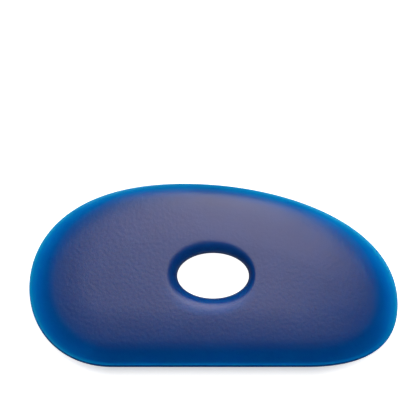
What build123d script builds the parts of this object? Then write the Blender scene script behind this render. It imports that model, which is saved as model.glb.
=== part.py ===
from build123d import *
from math import atan2, tan
import os

# Pottery rib: a palm-sized kidney of flexible polyurethane that a potter bends against
# wet clay to shape and smooth it. It is cast in one piece: thick in the middle for
# grip, tapered on both faces to a thin working edge all round, with an oval finger
# hole whose rims are rolled over.
#
# The rib lies flat. X runs along it, Y across it and Z through it. The origin is on
# the resting face, in the middle of the finger hole. The straight edge is at -Y, the
# long crown at +Y, the broad end at -X and the narrow end at +X.

# Overall size, in millimetres
rib_length = 88.9
rib_width = 44.45
rib_thickness = 6.35

# Working edge: a thin blunt wall all round, with both its corners rounded
edge_thickness = 1.3
edge_round = 0.5

# Taper from the flat of each face down to the working edge, and the round that blends
# it into the flat, as shares of half the width
bevel_share = 0.19
bevel_blend_share = 0.42
blend_margin = 0.5

# Finger hole: an oval of two side arcs and two end arcs, with a narrow straight wall
# between its two rolled rims
finger_hole_length = 17.5
finger_hole_width = 11.2
finger_hole_end_radius = 4.0
hole_wall_height = 0.75

# Outline: the ends are circles, and a wider arc leads from each into the crown and from
# the narrow end into the straight edge. Radii are shares of half the width.
broad_end_share = 0.86
broad_shoulder_share = 1.147
narrow_end_share = 0.654
narrow_shoulder_share = 1.18
narrow_heel_share = 3.15

# The crown flattens as the rib gets longer or narrower: a share of length squared over
# width. Its top lies off the middle, as a share of half the length.
crown_radius_share = 0.437
crown_place_share = -0.129

# Height of the narrow end's middle, as a share of half the width
narrow_end_height_share = -0.308

half_length = rib_length / 2
half_width = rib_width / 2
middle_height = rib_thickness / 2
edge_top = middle_height + edge_thickness / 2
edge_bottom = middle_height - edge_thickness / 2
rolled_rim_radius = (rib_thickness - hole_wall_height) / 2

# The border holds the taper and its blend, with a little of the flat beyond them
bevel_width = half_width * bevel_share
bevel_blend_radius = half_width * bevel_blend_share
bevel_angle = atan2(rib_thickness - edge_top, bevel_width)
border_width = bevel_width + bevel_blend_radius * tan(bevel_angle / 2) + blend_margin

broad_end_radius = half_width * broad_end_share
broad_shoulder_radius = half_width * broad_shoulder_share
narrow_end_radius = half_width * narrow_end_share
narrow_shoulder_radius = half_width * narrow_shoulder_share
narrow_heel_radius = half_width * narrow_heel_share
crown_radius = crown_radius_share * rib_length**2 / rib_width

# The hole's end arcs run into its side arcs without a corner
end_arc_place = finger_hole_length / 2 - finger_hole_end_radius
finger_hole_side_radius = (
    end_arc_place**2 + (finger_hole_width / 2) ** 2 - finger_hole_end_radius**2
) / (finger_hole_width - 2 * finger_hole_end_radius)
side_arc_place = finger_hole_side_radius - finger_hole_width / 2


def whole_circle(center, radius):
    """Draws a circle that the outline's arcs are fitted to, and that isn't part of it."""
    return CenterArc(center, radius, 0, 360, mode=Mode.PRIVATE)


def innermost(arcs):
    """Picks the arc whose own middle lies nearest the finger hole."""
    return min(arcs, key=lambda arc: arc.arc_center.length)


with BuildPart() as rib:
    with BuildLine() as outline:
        broad_end = whole_circle(
            (broad_end_radius - half_length, broad_end_radius - half_width),
            broad_end_radius,
        )
        narrow_end = whole_circle(
            (half_length - narrow_end_radius, half_width * narrow_end_height_share),
            narrow_end_radius,
        )
        crown = whole_circle(
            (half_length * crown_place_share, half_width - crown_radius), crown_radius
        )
        base = Line((-half_length, -half_width), (half_length, -half_width), mode=Mode.PRIVATE)

        # Wider arcs that wrap the ends and run on into the straight edge and the crown
        narrow_heel = ConstrainedArcs(
            base,
            (narrow_end, Tangency.ENCLOSING),
            radius=narrow_heel_radius,
            selector=innermost,
        )
        narrow_shoulder = ConstrainedArcs(
            (narrow_end, Tangency.ENCLOSING),
            (crown, Tangency.ENCLOSED),
            radius=narrow_shoulder_radius,
            selector=innermost,
        )
        broad_shoulder = ConstrainedArcs(
            (crown, Tangency.ENCLOSED),
            (broad_end, Tangency.ENCLOSING),
            radius=broad_shoulder_radius,
            selector=innermost,
        )

        # What is left between them: the straight edge, the two ends and the crown
        straight_edge_start = broad_end.arc_center - Vector(0, broad_end_radius)
        straight_edge = Line(straight_edge_start, narrow_heel @ 0)
        RadiusArc(narrow_heel @ 1, narrow_shoulder @ 0, -narrow_end_radius)
        RadiusArc(narrow_shoulder @ 1, broad_shoulder @ 0, -crown_radius)
        RadiusArc(broad_shoulder @ 1, straight_edge_start, -broad_end_radius)

    # Section of the border, drawn inwards from the straight edge: both faces slope down
    # from the flat to the working edge
    with BuildSketch(Plane(straight_edge @ 0, x_dir=(0, 1, 0), z_dir=(1, 0, 0))) as border:
        with BuildLine():
            Polyline(
                (0, edge_bottom),
                (0, edge_top),
                (bevel_width, rib_thickness),
                (border_width, rib_thickness),
                (border_width, 0),
                (bevel_width, 0),
                close=True,
            )
        make_face()
        fillet(border.vertices().group_by(Axis.X)[1], radius=bevel_blend_radius)
        fillet(border.vertices().group_by(Axis.X)[0], radius=edge_round)
    sweep(path=outline.wire())

    # The flat middle fills the border
    with BuildSketch(Plane.XY):
        with BuildLine():
            offset(outline.wire(), amount=-border_width)
        make_face()
    extrude(amount=rib_thickness)

    # The finger hole goes right through
    with BuildSketch(Plane.XY.offset(middle_height)) as finger_hole:
        with Locations((0, -side_arc_place)):
            Circle(finger_hole_side_radius)
        with Locations((0, side_arc_place)):
            Circle(finger_hole_side_radius, mode=Mode.INTERSECT)
        fillet(finger_hole.vertices(), radius=finger_hole_end_radius)
    extrude(amount=middle_height, both=True, mode=Mode.SUBTRACT)

    # Its rims are rolled: what lies outside their quarter rounds is cut away
    rim_path = finger_hole.sketch.face().outer_wire()
    outwards = (rim_path % 0).cross(Vector(0, 0, 1))
    with BuildSketch(Plane(rim_path @ 0, x_dir=outwards, z_dir=rim_path % 0)):
        Rectangle(2 * rolled_rim_radius, rib_thickness)
        with Locations((1.5 * rolled_rim_radius, 0)):
            RectangleRounded(
                3 * rolled_rim_radius, rib_thickness, rolled_rim_radius, mode=Mode.SUBTRACT
            )
    sweep(path=rim_path, mode=Mode.SUBTRACT)

rib.part.label = "rib_body"

os.makedirs("parts", exist_ok=True)
export_step(rib.part, "parts/rib_body.step")

size = rib.part.bounding_box().size
print(f"rib_body: {size.X:.2f} x {size.Y:.2f} x {size.Z:.2f} mm")
print(f"volume {rib.part.volume / 1000:.2f} cm3, valid {rib.part.is_valid}")
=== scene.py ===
import bpy
import math
import numpy as np
from mathutils import Matrix


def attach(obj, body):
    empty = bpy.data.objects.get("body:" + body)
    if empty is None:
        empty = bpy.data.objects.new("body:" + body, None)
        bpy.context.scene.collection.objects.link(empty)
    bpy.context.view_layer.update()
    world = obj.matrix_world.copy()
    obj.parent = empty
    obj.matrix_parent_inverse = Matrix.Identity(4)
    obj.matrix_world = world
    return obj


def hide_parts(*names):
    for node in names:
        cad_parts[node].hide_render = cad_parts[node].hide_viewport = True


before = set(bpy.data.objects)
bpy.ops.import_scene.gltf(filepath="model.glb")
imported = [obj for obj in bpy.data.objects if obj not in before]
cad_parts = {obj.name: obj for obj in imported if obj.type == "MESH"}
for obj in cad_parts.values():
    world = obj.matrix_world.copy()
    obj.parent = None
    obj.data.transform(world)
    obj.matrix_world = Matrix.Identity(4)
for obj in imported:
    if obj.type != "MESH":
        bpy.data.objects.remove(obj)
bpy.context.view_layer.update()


# helpers
def inScene(name, data):
    # an object with this data, linked to the scene
    piece = bpy.data.objects.new(name, data)
    bpy.context.scene.collection.objects.link(piece)
    return piece


def emptyTree(holder):
    # the cleared node tree of a material or a world
    holder.use_nodes = True
    holder.node_tree.nodes.clear()
    return holder.node_tree


def addNode(tree, kind, inputs=None, **settings):
    # a node with these settings; an input that is a socket is linked, any other is set
    node = tree.nodes.new(kind)
    for name, value in settings.items():
        setattr(node, name, value)
    for name, value in (inputs or {}).items():
        if isinstance(value, bpy.types.NodeSocket):
            tree.links.new(value, node.inputs[name])
        else:
            node.inputs[name].default_value = value
    return node


def maths(tree, operation, first, second):
    # the two values, joined by the operation
    inputs = {0: first, 1: second}
    return addNode(tree, "ShaderNodeMath", inputs, operation=operation).outputs[0]


def fade(tree, value, start, end, first, last):
    # runs smoothly from first to last while the value runs from start to end
    inputs = {"Value": value, "From Min": start, "From Max": end, "To Min": first, "To Max": last}
    node = addNode(tree, "ShaderNodeMapRange", inputs, interpolation_type="SMOOTHSTEP")
    return node.outputs["Result"]


def between(tree, value, first, last):
    # runs evenly from first to last while the value runs from 0 to 1
    inputs = {"Value": value, "To Min": first, "To Max": last}
    return addNode(tree, "ShaderNodeMapRange", inputs).outputs["Result"]


def scaled(tree, colour, factor):
    # the colour times the factor
    inputs = {0: colour, "Scale": factor}
    return addNode(tree, "ShaderNodeVectorMath", inputs, operation="SCALE").outputs["Vector"]


# the rib
# lengths are in metres; the outline's shares are of half the length (x) or half the width (y)
rib = {
    "length": 0.0889,
    "width": 0.04445,
    "thickness": 0.00635,
    # the outline
    "straightEdge": (-0.544, 0.502),   # where the straight edge starts and ends
    "crownPlace": -0.16,
    "broadTipHeight": -0.135,
    "narrowTipHeight": -0.31,
    "narrowHeel": (0.825, 0.50),       # how far each corner curve is pulled to its corner
    "narrowShoulder": (0.648, 0.483),
    "broadShoulder": (0.757, 0.457),
    "broadHeel": (0.54, 0.63),
    # the taper: slope of the faces, in degrees, by distance in from the working edge
    "slopeAt": (0.0, 0.0008, 0.0015, 0.003, 0.0045, 0.006, 0.008, 0.01, 0.0125, 0.0145, 0.02),
    "slope": (40.0, 36.0, 30.0, 20.0, 12.5, 6.0, 3.8, 2.9, 1.4, 0.0, 0.0),
    "slopeSteps": 2000,                # that reach is cut into so many steps
    "slopeBlur": 60,                   # and smoothed over this many to each side
    "edgeThickness": 0.0013,
    "edgeRound": 0.0005,
    "borderWidth": 0.0090,
    "swellPlace": 0.0013,              # where the border swells most
    # the finger hole
    "holeLength": 0.0173,
    "holeWidth": 0.01108,
    "holeMiddle": (-0.00008, -0.00016),
    "rimDepth": 0.0028,                # how deep the rolled rim goes
    "rimWidth": (0.00264, 0.00328),    # and how wide it is, at the oval's ends and sides
    "rimShift": (-0.00074, -0.00012),  # what is added towards +X and +Y and taken off opposite
    "rimSoftness": 2.7,                # 2 is a quarter round; more leaves the face softer
    # painted light: how much light the thin edge lets through, laid into its colour, by distance in
    # from the outline
    "glowAt": (0.0, 0.0004, 0.0007, 0.0013, 0.0020, 0.0028, 0.0037, 0.0049, 0.0066, 0.0086),
    "glow": (1.25, 1.20, 1.02, 0.62, 0.41, 0.30, 0.19, 0.10, 0.03, 0.0),
    # on the shaded side painted shade makes a dark line along the edge, with a painted highlight as
    # a bright one inside it
    "lipAt": (0.0, 0.00030, 0.00044, 0.00066, 0.00110),
    "lip": (-1.2, -1.0, 0.75, 0.55, 0.0),
    # painted shade: below the crown a strip inside the edge is darker
    "shadeAt": (0.0, 0.0020, 0.0028, 0.0038, 0.0050, 0.0065, 0.0090),
    "shade": (0.67, 0.67, 0.80, 1.0, 0.78, 0.30, 0.0),
    "rimGlow": 0.13,                   # painted light on the hole's lower rim, which faces the lamp
    "rimGlowReach": 0.0009,
    "wallGlow": 0.45,                  # painted light on the hole's upper wall, lit from below
    "wallGlowPower": 6,                # higher keeps that glow lower on the rim's turn
    "glossBackAt": (0.20, 0.80),       # where the gloss comes back, on the way to the hole
    # what differs by the direction that the outline faces, in degrees: -90 is the
    # straight edge, 0 the narrow end, 90 the crown and 180 the broad end.
    # glow and lip: how much of the painted light through the edge and of the lip's painted shade
    # and highlight lines is seen;
    # shade: the brightness of the strip darkened as painted shade; redFrom and redTo: the distances
    # in between which the red of the gloss comes in; gloss: its strength, lowered as painted shade
    # round the narrow end; swell: how much the border swells
    "sideNames": ("facing", "glow", "lip", "shade", "redFrom", "redTo", "gloss", "swell"),
    "sides": (
        (-180, 1.10, 0.0, 1.000, 0.0038, 0.0063, 1.00, 0.0),
        (-159, 1.05, 0.4, 1.000, 0.0042, 0.0068, 1.00, 0.0),
        (-134, 0.80, 1.0, 1.000, 0.0042, 0.0068, 1.00, 0.0),
        (-109, 0.64, 1.0, 1.000, 0.0037, 0.0057, 1.00, 0.0),
        (-91, 0.29, 0.8, 1.000, 0.0031, 0.0047, 1.00, 0.0),
        (-89, 0.27, 0.7, 1.000, 0.0031, 0.0047, 0.95, 0.0),
        (-55, 0.58, 0.3, 1.000, 0.0040, 0.0072, 0.68, 0.0),
        (-19, 1.06, 0.0, 1.000, 0.0040, 0.0075, 0.62, 0.0),
        (32, 1.28, 0.0, 1.000, 0.0028, 0.0044, 0.78, 0.0),
        (61, 1.25, 0.0, 0.860, 0.0012, 0.0018, 1.00, 0.00006),
        (86, 1.00, 0.0, 0.580, 0.0010, 0.0016, 1.00, 0.0),
        (104, 1.04, 0.0, 0.715, 0.0010, 0.0016, 1.00, 0.00018),
        (112, 1.06, 0.0, 0.770, 0.0018, 0.0028, 1.00, 0.00015),
        (150, 1.17, 0.0, 0.970, 0.0032, 0.0048, 1.00, 0.00003),
        (180, 1.10, 0.0, 1.000, 0.0038, 0.0063, 1.00, 0.0),
    ),
    # the mesh
    "curveSteps": 4000,                # on each curve of the outline, before its columns
    "normalStep": 0.00001,             # each way, to find where the outline faces
    "columns": 480,                    # round the outline
    "edgeWallRows": 2,                 # rows on half of the working edge's wall
    "edgeRows": 9,                     # on the edge's round
    "outerRows": (0.003, 21),          # from there to this distance in
    "innerRows": 25,                   # from there to the border's end
    "flatRows": 20,                    # between the border and the hole's rim
    "rimRows": 26,                     # on the hole's rim
    "holeWallRows": 2,                 # on half of the hole's wall
}


def cornerCurve(t, start, corner, end, pulls):
    # cubic Bezier from start to end; each handle lies a share of the way to the corner
    start, corner, end = (np.array(p, float) for p in (start, corner, end))
    first = start + pulls[0] * (corner - start)
    second = end + pulls[1] * (corner - end)
    return ((1 - t) ** 3 * start + 3 * (1 - t) ** 2 * t * first
            + 3 * (1 - t) * t**2 * second + t**3 * end)


def ribOutline(s):
    # the straight edge and four corner curves, anticlockwise, resampled so that the
    # columns stand at equal steps of length; normals point inwards
    hl, hw = s["length"] / 2, s["width"] / 2
    left, right = s["straightEdge"][0] * hl, s["straightEdge"][1] * hl
    crown = (s["crownPlace"] * hl, hw)
    broadTip = (-hl, s["broadTipHeight"] * hw)
    narrowTip = (hl, s["narrowTipHeight"] * hw)
    t = np.linspace(0, 1, s["curveSteps"], endpoint=False)[:, None]
    straight = (left, -hw) + t * (right - left, 0)
    closed = np.vstack([
        straight,
        cornerCurve(t, (right, -hw), (hl, -hw), narrowTip, s["narrowHeel"]),
        cornerCurve(t, narrowTip, (hl, hw), crown, s["narrowShoulder"]),
        cornerCurve(t, crown, (-hl, hw), broadTip, s["broadShoulder"]),
        cornerCurve(t, broadTip, (-hl, -hw), (left, -hw), s["broadHeel"]),
        straight[:1],
    ])
    run = np.concatenate([[0], np.cumsum(np.linalg.norm(np.diff(closed, axis=0), axis=1))])

    def placeAt(length):
        # the point that lies this length along the closed line
        return np.column_stack([np.interp(length % run[-1], run, closed[:, i]) for i in (0, 1)])

    at = np.linspace(0, run[-1], s["columns"], endpoint=False)
    along = placeAt(at + s["normalStep"]) - placeAt(at - s["normalStep"])
    along /= np.linalg.norm(along, axis=1)[:, None]
    return placeAt(at), np.column_stack([-along[:, 1], along[:, 0]])


def byDistance(s, far, name):
    # a setting read at a distance in from the outline, straight between its values
    return np.interp(far, s[name + "At"], s[name])


def bySide(s, facing, name):
    # a column of the sides, read at the direction that the outline faces
    sides = np.array(s["sides"])
    return np.interp(facing, sides[:, 0], sides[:, s["sideNames"].index(name)])


def faceFall(s):
    # how far the face lies below its middle, by distance in: the slope's tangent, smoothed
    # and added up from the middle outwards, then scaled to reach the working edge
    far = np.linspace(0, s["slopeAt"][-1], s["slopeSteps"] + 1)
    slope = np.tan(np.radians(byDistance(s, far, "slope")))
    window = np.hanning(2 * s["slopeBlur"] + 1)
    padded = np.pad(slope, s["slopeBlur"], mode="edge")
    slope = np.convolve(padded, window / window.sum(), "valid")
    fall = np.concatenate([np.cumsum(slope[::-1])[::-1][1:], [0]]) * (far[1] - far[0])
    return far, fall * (s["thickness"] - s["edgeThickness"]) / 2 / fall[0]


def borderSection(s):
    # half section from the middle of the working edge inwards: a straight wall, an edge
    # round that meets the slope, and the slope itself.
    # Returns the distance inwards and the height above mid-thickness
    half, r = s["thickness"] / 2, s["edgeRound"]
    far, fall = faceFall(s)
    lean = math.atan2(fall[0] - np.interp(r, far, fall), r)
    turn = np.linspace(0, math.pi / 2 - lean, s["edgeRows"])
    edgeX = r - r * np.cos(turn)
    start = half - np.interp(edgeX[-1], far, fall)
    edgeZ = start - r * math.sin(turn[-1]) + r * np.sin(turn)
    split, outerRows = s["outerRows"]
    slopeX = np.concatenate([np.linspace(edgeX[-1], split, outerRows + 1)[1:],
                             np.linspace(split, s["borderWidth"], s["innerRows"] + 1)[1:]])
    slopeZ = half - np.interp(slopeX, far, fall)
    wallZ = np.linspace(0, edgeZ[0], s["edgeWallRows"], endpoint=False)
    return (np.concatenate([0 * wallZ, edgeX, slopeX]),
            np.concatenate([wallZ, edgeZ, slopeZ]))


def holeOval(s, around):
    # the hole's oval and the direction out of it, at the angles in which the points
    # around it are seen from the middle
    a, b = s["holeLength"] / 2, s["holeWidth"] / 2
    angle = np.arctan2(around[:, 1] / b, around[:, 0] / a)
    oval = np.column_stack([a * np.cos(angle), b * np.sin(angle)]) + s["holeMiddle"]
    out = np.column_stack([b * np.cos(angle), a * np.sin(angle)])
    return oval, out / np.linalg.norm(out, axis=1)[:, None]


def nearestDistance(points, outline):
    # distance of each point to the closed outline: the smallest over its segments
    along = np.roll(outline, -1, axis=0) - outline
    square = (along**2).sum(axis=1)
    away = points[..., None, :] - outline
    share = np.clip((away * along).sum(axis=-1) / square, 0, 1)
    return np.sqrt(((away - share[..., None] * along) ** 2).sum(axis=-1)).min(axis=-1)


def edgeGlow(s, far, facing):
    # painted light through the edge: what its distance gives times what its side gives, with the
    # lip's painted shade and painted highlight lines added in the same way, and never below 0
    glow = byDistance(s, far, "glow") * bySide(s, facing, "glow")
    lip = byDistance(s, far, "lip") * bySide(s, facing, "lip")
    return np.clip(glow + lip, 0, None)


def holeGlow(s, toRim, onWall, upwards):
    # painted light through the hole's lower rim, which fades as exp(-x^2) on the face outside it,
    # and through the hole's upper wall; upwards is how far the hole's outside faces +Y
    lowerRim = (1 - onWall) * np.clip(-upwards, 0, 1) ** 2
    lowerRim = lowerRim * np.exp(-((toRim / s["rimGlowReach"]) ** 2))
    upperWall = onWall * np.clip(upwards, 0, 1)
    return s["rimGlow"] * lowerRim + s["wallGlow"] * upperWall


def edgeShade(s, far, facing):
    # brightness of the colour, darkened as painted shade: 1, less what the distance gives of what
    # the side lacks
    return 1 - byDistance(s, far, "shade") * (1 - bySide(s, facing, "shade"))


def glossWarmth(s, far, facing):
    # the red of the gloss: 3x^2 - 2x^3, with x running from 0 to 1 between the side's
    # two distances in
    start, end = bySide(s, facing, "redFrom"), bySide(s, facing, "redTo")
    x = np.clip((far - start) / (end - start), 0, 1)
    return x**2 * (3 - 2 * x)


def glossLevel(s, toHole, facing):
    # strength of the gloss, lowered as painted shade where the side gives less: what the side gives
    # at the border, evenly up to 1 at the hole
    level = bySide(s, facing, "gloss")
    return level + (1 - level) * np.interp(toHole, s["glossBackAt"], (0, 1))


def bothFaces(rows, mirror=1):
    # the lower face repeats the upper one's rows backwards, but for the two at its ends
    return np.concatenate([rows, rows[-2:0:-1] * mirror])


def ribSurface(s):
    # a closed grid: columns go round the outline, rows go from the working edge over
    # the upper face, down the hole's wall and back under the lower face
    outline, inward = ribOutline(s)
    facing = np.degrees(np.arctan2(-inward[:, 1], -inward[:, 0]))
    inX, upZ = borderSection(s)
    border = outline[None] + inX[:, None, None] * inward[None]
    # roll runs from 0, where the rim leaves the face, to 1, where it meets the hole's wall
    oval, out = holeOval(s, border[-1])
    roll = np.sin(np.linspace(0, math.pi / 2, s["rimRows"]))
    rimWidth = out**2 @ s["rimWidth"] + out @ s["rimShift"]
    rim = oval[None] + ((1 - roll)[:, None] * rimWidth)[..., None] * out[None]
    wall = np.repeat(oval[None], s["holeWallRows"], axis=0)
    share = np.linspace(0, 1, s["flatRows"] + 2)[1:-1, None, None]
    flat = border[-1][None] * (1 - share) + rim[0][None] * share
    # the border swells as (x exp(1 - x))^2, with x the distance in over the swell's place
    x = inX / s["swellPlace"]
    swell = ((x * np.exp(1 - x)) ** 2)[:, None] * bySide(s, facing, "swell")
    # the face falls by distance in, and the rim's depth grows as 1 - sqrt(1 - roll^n)
    half, depth = s["thickness"] / 2, s["rimDepth"]
    flatFar, rimFar = nearestDistance(flat, outline), nearestDistance(rim[0], outline)
    rimTop = half - np.interp(rimFar, *faceFall(s))
    height = np.concatenate([
        upZ[:, None] + swell,
        half - np.interp(flatFar, *faceFall(s)),
        rimTop[None] - depth * (1 - np.sqrt(1 - roll ** s["rimSoftness"]))[:, None],
        (rimTop - depth)[None] * np.linspace(1, 0, s["holeWallRows"] + 1)[1:, None],
    ])
    upper = np.dstack([np.concatenate([border, flat, rim, wall]), height])
    grid = bothFaces(upper, mirror=(1, 1, -1)) + (0, 0, half)
    # distance in from the outline; on the rim and in the hole it stays as it is where
    # the rim begins
    holeRows, columns = len(rim) + len(wall), s["columns"]
    far = np.concatenate([np.repeat(inX[:, None], columns, axis=1), flatFar,
                          np.repeat(rimFar[None], holeRows, axis=0)])
    # distance to the rim, where the face is near it
    toRim = np.concatenate([np.full((len(border), columns), np.inf),
                            nearestDistance(flat, rim[0]), np.zeros((holeRows, columns))])
    # the way to the hole and the turn on to its wall, each from 0 to 1
    toHole = np.concatenate([np.zeros(len(border)), share[:, 0, 0], np.ones(holeRows)])[:, None]
    onWall = np.concatenate([np.zeros(len(border) + len(flat)), roll ** s["wallGlowPower"],
                             np.ones(len(wall))])[:, None]
    # edgeGlow holds painted light, edgeShade and glossLevel painted shade
    values = {
        "edgeDistance": far,
        "edgeGlow": edgeGlow(s, far, facing) + holeGlow(s, toRim, onWall, out[:, 1]),
        "edgeShade": edgeShade(s, far, facing),
        "glossWarmth": glossWarmth(s, far, facing),
        "glossLevel": glossLevel(s, toHole, facing),
    }
    return grid, {name: bothFaces(rows) for name, rows in values.items()}


def gridMesh(name, grid, values):
    # joins rows and columns into quads; both directions close on themselves
    rows, columns = grid.shape[:2]
    index = np.arange(rows * columns).reshape(rows, columns)
    right, below = np.roll(index, -1, axis=1), np.roll(index, -1, axis=0)
    quads = np.stack([index, right, np.roll(right, -1, axis=0), below], axis=-1)
    mesh = bpy.data.meshes.new(name)
    mesh.from_pydata(grid.reshape(-1, 3).tolist(), [], quads.reshape(-1, 4).tolist())
    mesh.polygons.foreach_set("use_smooth", np.ones(len(mesh.polygons), bool))
    for label, numbers in values.items():
        attribute = mesh.attributes.new(label, "FLOAT", "POINT")
        attribute.data.foreach_set("value", numbers.reshape(-1).astype(np.float32))
    mesh.update()
    return inScene(name, mesh)


ribGrid, ribValues = ribSurface(rib)
ribPiece = gridMesh("rib_casting", ribGrid, ribValues)
print("rib made,", len(ribPiece.data.polygons), "faces")

# the rib's material
castBlue = {
    # colour by how much painted light the edge lets through, as shares of the brightest
    "brightest": 1.6,
    "stops": (
        (0.00, (0.000, 0.0510, 0.237)),
        (0.08, (0.000, 0.0840, 0.346)),
        (0.22, (0.000, 0.1380, 0.492)),
        (0.39, (0.000, 0.2100, 0.620)),
        (0.66, (0.001, 0.2730, 0.660)),
        (0.80, (0.003, 0.3550, 0.720)),
        (1.00, (0.035, 0.4300, 0.770)),
    ),
    "cloudLevel": (0.90, 1.10),        # slow cloudiness of the pigment
    "cloudSize": 1 / 140,
    "cloudDetail": 3,
    "scatterRadius": (0.0002, 0.0011, 0.0016),
    "ior": 1.5,
    "specularLevel": 0.35,
    "glossTint": (1.0, 0.80, 0.76),
    "edgeTintRed": 0.12,               # and the red of that where the edge lets light through
    "roughness": (0.285, 0.335),       # at the working edge, and from this far in
    "roughnessReach": 0.0075,
    "grainHeight": 0.000032,           # relief of the moulded faces
    "grainSize": 0.0008,
    "grainDetail": 3,
    "waveHeight": 0.00005,             # and their slow unevenness
    "waveSize": 0.016,
    "waveDetail": 1,
}


def castPolyurethane(s):
    # scattering blue plastic, whose colour and gloss follow the values that the mesh holds, among
    # them painted light and painted shade
    material = bpy.data.materials.new("castPolyurethane")
    tree = emptyTree(material)
    place = addNode(tree, "ShaderNodeTexCoord").outputs["Object"]

    def stored(name):
        # a value that the mesh holds at its points
        return addNode(tree, "ShaderNodeAttribute", attribute_name=name).outputs["Fac"]

    def noise(name):
        # noise in spots of the size that the settings give it
        inputs = {"Vector": place, "Scale": 1 / s[name + "Size"], "Detail": s[name + "Detail"]}
        return addNode(tree, "ShaderNodeTexNoise", inputs).outputs["Fac"]

    # the ramp turns the painted light through the edge into colour
    share = maths(tree, "DIVIDE", stored("edgeGlow"), s["brightest"])
    ramp = addNode(tree, "ShaderNodeValToRGB", {"Fac": share})
    while len(ramp.color_ramp.elements) < len(s["stops"]):
        ramp.color_ramp.elements.new(1.0)
    for element, (at, colour) in zip(ramp.color_ramp.elements, s["stops"]):
        element.position = at
        element.color = (*colour, 1)
    cloud = between(tree, noise("cloud"), *s["cloudLevel"])
    # the pigment's cloudiness, times the painted shade inside the edge below the crown
    brightness = maths(tree, "MULTIPLY", cloud, stored("edgeShade"))
    red, green, blue = s["glossTint"]
    gloss = addNode(tree, "ShaderNodeCombineColor", {
        "Red": between(tree, stored("glossWarmth"), s["edgeTintRed"], red),
        "Green": green,
        "Blue": blue,
    })
    wave = addNode(tree, "ShaderNodeBump", {"Height": noise("wave"), "Distance": s["waveHeight"]})
    grain = addNode(tree, "ShaderNodeBump", {
        "Height": noise("grain"),
        "Distance": s["grainHeight"],
        "Normal": wave.outputs["Normal"],
    })
    shader = addNode(tree, "ShaderNodeBsdfPrincipled", {
        "Base Color": scaled(tree, ramp.outputs["Color"], brightness),
        "Roughness": fade(tree, stored("edgeDistance"), 0.0, s["roughnessReach"], *s["roughness"]),
        "Normal": grain.outputs["Normal"],
        "Subsurface Weight": 1.0,
        "Subsurface Radius": s["scatterRadius"],
        "Subsurface Scale": 1.0,
        "IOR": s["ior"],
        "Specular IOR Level": s["specularLevel"],
        # the gloss's tint, scaled down where its painted shade lowers it
        "Specular Tint": scaled(tree, gloss.outputs["Color"], stored("glossLevel")),
    })
    addNode(tree, "ShaderNodeOutputMaterial", {"Surface": shader.outputs["BSDF"]})
    return material


ribPiece.data.materials.append(castPolyurethane(castBlue))
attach(ribPiece, "root")
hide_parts("rib_body")
print("rib finished")

# floor
floor = {
    "size": 6.0,
    "colour": 0.93,
    "glow": 0.60,                  # only what the camera, gloss and glass see
    "farGlow": 1.0,                # the glow grows to this, and the shadow fades, between
    "farReach": (0.56, 1.0),       # these shares of the oval given next
    "farSize": (0.046, 0.090),
    "opening": (0.0098, 0.0067),   # half size of the spot under the hole
    "openingReach": (0.95, 1.15),  # the spot ends softly between these shares of that
    "openingGlow": 1.10,           # it glows fully: painted light that hides the rib's shadow there
    "openingColour": 0.30,         # and is painted darker, as painted shade for the rib's shadow, so it reflects less
    "darkReach": (0.012, 0.060),   # the gloss sees no glow this near the rib's middle
}


def whitePaper(s):
    # matte paper with a glow of its own, which only the camera, gloss and glass see
    material = bpy.data.materials.new("whitePaper")
    tree = emptyTree(material)
    place = addNode(tree, "ShaderNodeTexCoord").outputs["Object"]
    path = addNode(tree, "ShaderNodeLightPath").outputs

    def reachOf(size):
        # distance from the middle, in units of the given half size
        inputs = {0: place, 1: (1 / size[0], 1 / size[1], 0)}
        unit = addNode(tree, "ShaderNodeVectorMath", inputs, operation="MULTIPLY").outputs[0]
        return addNode(tree, "ShaderNodeVectorMath", {0: unit}, operation="LENGTH").outputs["Value"]

    def atOpening(inside, outside):
        # the first value on the spot under the hole, and the second around it
        return fade(tree, reachOf(s["opening"]), *s["openingReach"], inside, outside)

    farGlow = fade(tree, reachOf(s["farSize"]), *s["farReach"], s["glow"], s["farGlow"])
    # the glow, with painted light on the spot under the hole
    cameraGlow = maths(tree, "MAXIMUM", atOpening(s["openingGlow"], 0.0), farGlow)
    glossGlow = fade(tree, reachOf((1.0, 1.0)), *s["darkReach"], 0.0, s["glow"])
    gloss = maths(tree, "ADD", path["Is Glossy Ray"], path["Is Transmission Ray"])
    strength = maths(tree, "ADD", maths(tree, "MULTIPLY", path["Is Camera Ray"], cameraGlow),
                     maths(tree, "MULTIPLY", gloss, glossGlow))
    # the paper's colour, darkened as painted shade on the spot under the hole
    matte = addNode(tree, "ShaderNodeBsdfDiffuse",
                    {"Color": atOpening(s["openingColour"], s["colour"])})
    glow = addNode(tree, "ShaderNodeEmission", {"Strength": strength})
    both = addNode(tree, "ShaderNodeAddShader", {0: matte.outputs[0], 1: glow.outputs[0]})
    addNode(tree, "ShaderNodeOutputMaterial", {"Surface": both.outputs[0]})
    return material


def floorSheet(s):
    # one flat square at the height of the resting face
    corners = s["size"] / 2 * np.array([(-1, -1, 0), (1, -1, 0), (1, 1, 0), (-1, 1, 0)])
    mesh = bpy.data.meshes.new("floor_sheet")
    mesh.from_pydata(corners.tolist(), [], [(0, 1, 2, 3)])
    mesh.materials.append(whitePaper(s))
    return inScene("floor_sheet", mesh)


floorSheet(floor)
print("floor laid")

# light
light = {
    "softboxSize": (0.137, 0.344),
    "softboxTilt": (4.0, 25.6),        # degrees off the vertical, towards +X and +Y
    "softboxRoll": -7.0,               # degrees; below 0 its +Y end turns towards +X
    "softboxDistance": 0.400,
    "radiance": 9.4,
    "ambient": 0.12,                   # what lights the object from all round
    "overhead": 0.02,                  # what its gloss sees above it
    "horizon": 1.0,                    # the white that the camera and gloss see low down
    "horizonReach": (0.04, 0.10),      # the white ends between these heights, as sines
}


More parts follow.
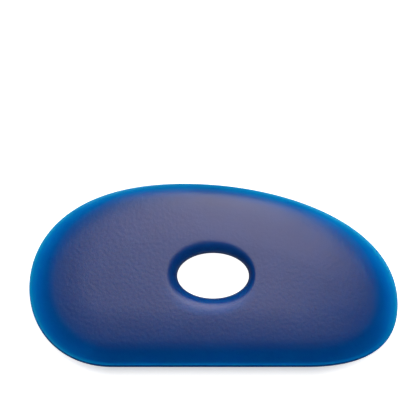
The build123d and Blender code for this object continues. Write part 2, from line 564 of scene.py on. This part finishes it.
def softbox(s):
    # a rectangular lamp that faces the origin; its power follows from its radiance:
    # watts = radiance * pi * area
    width, height = s["softboxSize"]
    lamp = bpy.data.lights.new("softbox", "AREA")
    lamp.shape = "RECTANGLE"
    lamp.size, lamp.size_y = width, height
    lamp.energy = s["radiance"] * math.pi * width * height
    leanX, leanY = (math.tan(math.radians(v)) for v in s["softboxTilt"])
    back = np.array([leanX, leanY, 1.0])
    back /= np.linalg.norm(back)
    level = np.cross((0, 1, 0), back)
    level /= np.linalg.norm(level)
    roll = math.radians(s["softboxRoll"])
    side = math.cos(roll) * level + math.sin(roll) * np.cross(back, level)
    turn = np.eye(4)
    turn[:3] = np.column_stack([side, np.cross(back, side), back, back * s["softboxDistance"]])
    inScene("softbox", lamp).matrix_world = Matrix(turn.tolist())


def studioWorld(s):
    # dim overhead and white near the horizon where the camera, gloss and glass look, and
    # an even grey for all other light
    world = bpy.data.worlds.new("studio")
    bpy.context.scene.world = world
    tree = emptyTree(world)
    path = addNode(tree, "ShaderNodeLightPath").outputs
    seen = maths(tree, "ADD", path["Is Camera Ray"], path["Is Transmission Ray"])
    seen = maths(tree, "ADD", seen, path["Is Glossy Ray"])
    direction = addNode(tree, "ShaderNodeTexCoord").outputs["Generated"]
    height = addNode(tree, "ShaderNodeSeparateXYZ", {0: direction}).outputs["Z"]
    sky = fade(tree, height, *s["horizonReach"], s["horizon"], s["overhead"])
    strength = addNode(tree, "ShaderNodeMix", {"Factor": seen, "A": s["ambient"], "B": sky})
    room = addNode(tree, "ShaderNodeBackground", {
        "Color": (1, 1, 1, 1),
        "Strength": strength.outputs["Result"],
    })
    addNode(tree, "ShaderNodeOutputWorld", {"Surface": room.outputs[0]})


softbox(light)
studioWorld(light)
print("lights set")

# camera
camera = {
    "lens": 200.0,
    "sensor": 36.0,
    "clip": (0.01, 50.0),
    "distance": 0.5393,
    "elevation": 82.65,
    "aim": (-0.003235, 0.018280, 0.003175),   # what stands in the middle of the picture
}


def photoCamera(s):
    # looks along +Y and down at the aim, from the given distance
    data = bpy.data.cameras.new("camera")
    data.lens = s["lens"]
    data.sensor_width = s["sensor"]
    data.clip_start, data.clip_end = s["clip"]
    piece = inScene("camera", data)
    tilt = math.radians(s["elevation"])
    back = np.array([0, -math.cos(tilt), math.sin(tilt)])
    piece.location = (np.array(s["aim"]) + s["distance"] * back).tolist()
    piece.rotation_euler = (math.pi / 2 - tilt, 0, 0)
    bpy.context.scene.camera = piece


photoCamera(camera)
bpy.context.scene.view_settings.view_transform = "Standard"
bpy.context.view_layer.update()
